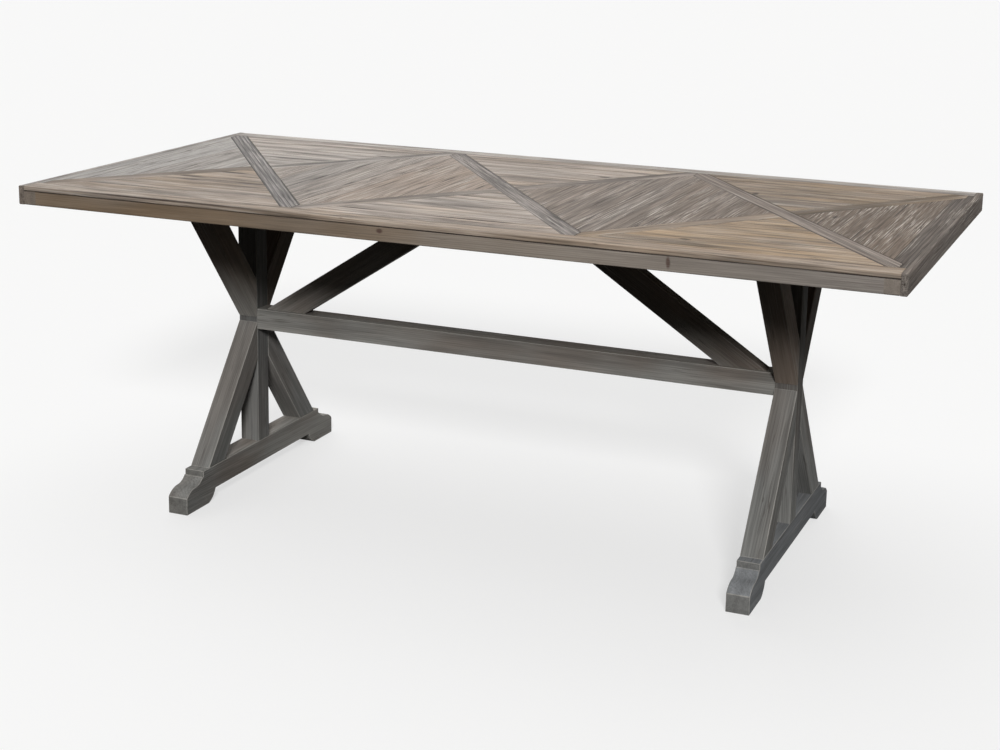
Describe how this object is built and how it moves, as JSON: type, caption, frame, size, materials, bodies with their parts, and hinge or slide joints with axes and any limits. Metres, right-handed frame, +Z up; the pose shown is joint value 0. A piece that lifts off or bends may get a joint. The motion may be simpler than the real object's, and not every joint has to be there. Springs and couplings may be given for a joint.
{
  "type": "sawbuck table",
  "caption": "Rectangular wooden dining table with a parquet top of crossed bands on two crossed-leg trestles, joined by a stretcher and two slanting braces.",
  "frame": {"origin": "on the floor under the middle of the top", "axes": "+X along the table, +Y across it, +Z up"},
  "size_m": [1.96, 0.94, 0.762],
  "materials": {
    "border_boards": "wire-brushed and limed pine, matt",
    "inlay_bands": "wire-brushed and limed pine, matt",
    "near_far_boards": "wire-brushed and limed pine, matt",
    "side_boards": "wire-brushed and limed pine, matt",
    "lippings": "wire-brushed pine, matt",
    "core": "stained blockboard, matt",
    "base_timber": "wire-brushed pine, grey stain, matt",
    "rails": "sawn pine, grey stain, matt",
    "loose_tenons": "beech, unfinished",
    "screws": "zinc plated"
  },
  "bodies": {
    "root": {"band_1_far": "inlay_bands", "band_1_long": "inlay_bands", "band_1_near": "inlay_bands", "band_2_far": "inlay_bands", "band_2_long": "inlay_bands", "band_2_near": "inlay_bands", "band_3_far": "inlay_bands", "band_3_long": "inlay_bands", "band_3_near": "inlay_bands", "boards_1_far": "near_far_boards", "boards_1_left": "side_boards", "boards_1_near": "near_far_boards", "boards_1_right": "side_boards", "boards_2_far": "near_far_boards", "boards_2_left": "side_boards", "boards_2_near": "near_far_boards", "boards_2_right": "side_boards", "boards_3_far": "near_far_boards", "boards_3_left": "side_boards", "boards_3_near": "near_far_boards", "boards_3_right": "side_boards", "border_back": "border_boards", "border_front": "border_boards", "border_left": "border_boards", "border_right": "border_boards", "brace_left": "base_timber", "brace_right": "base_timber", "core_panel": "core", "end_strip_left": "border_boards", "end_strip_right": "border_boards", "foot_left": "base_timber", "foot_right": "base_timber", "leg_left_lower_back": "base_timber", "leg_left_lower_front": "base_timber", "leg_left_upper_back": "base_timber", "leg_left_upper_front": "base_timber", "leg_right_lower_back": "base_timber", "leg_right_lower_front": "base_timber", "leg_right_upper_back": "base_timber", "leg_right_upper_front": "base_timber", "lipping_back": "lippings", "lipping_front": "lippings", "lipping_left": "lippings", "lipping_right": "lippings", "loose_tenons": "loose_tenons", "middle_cleat": "rails", "post_left": "base_timber", "post_right": "base_timber", "rail_left": "rails", "rail_right": "rails", "screws": "screws", "spine_1": "inlay_bands", "spine_2": "inlay_bands", "stretcher": "base_timber"}
  },
  "joints": []
}
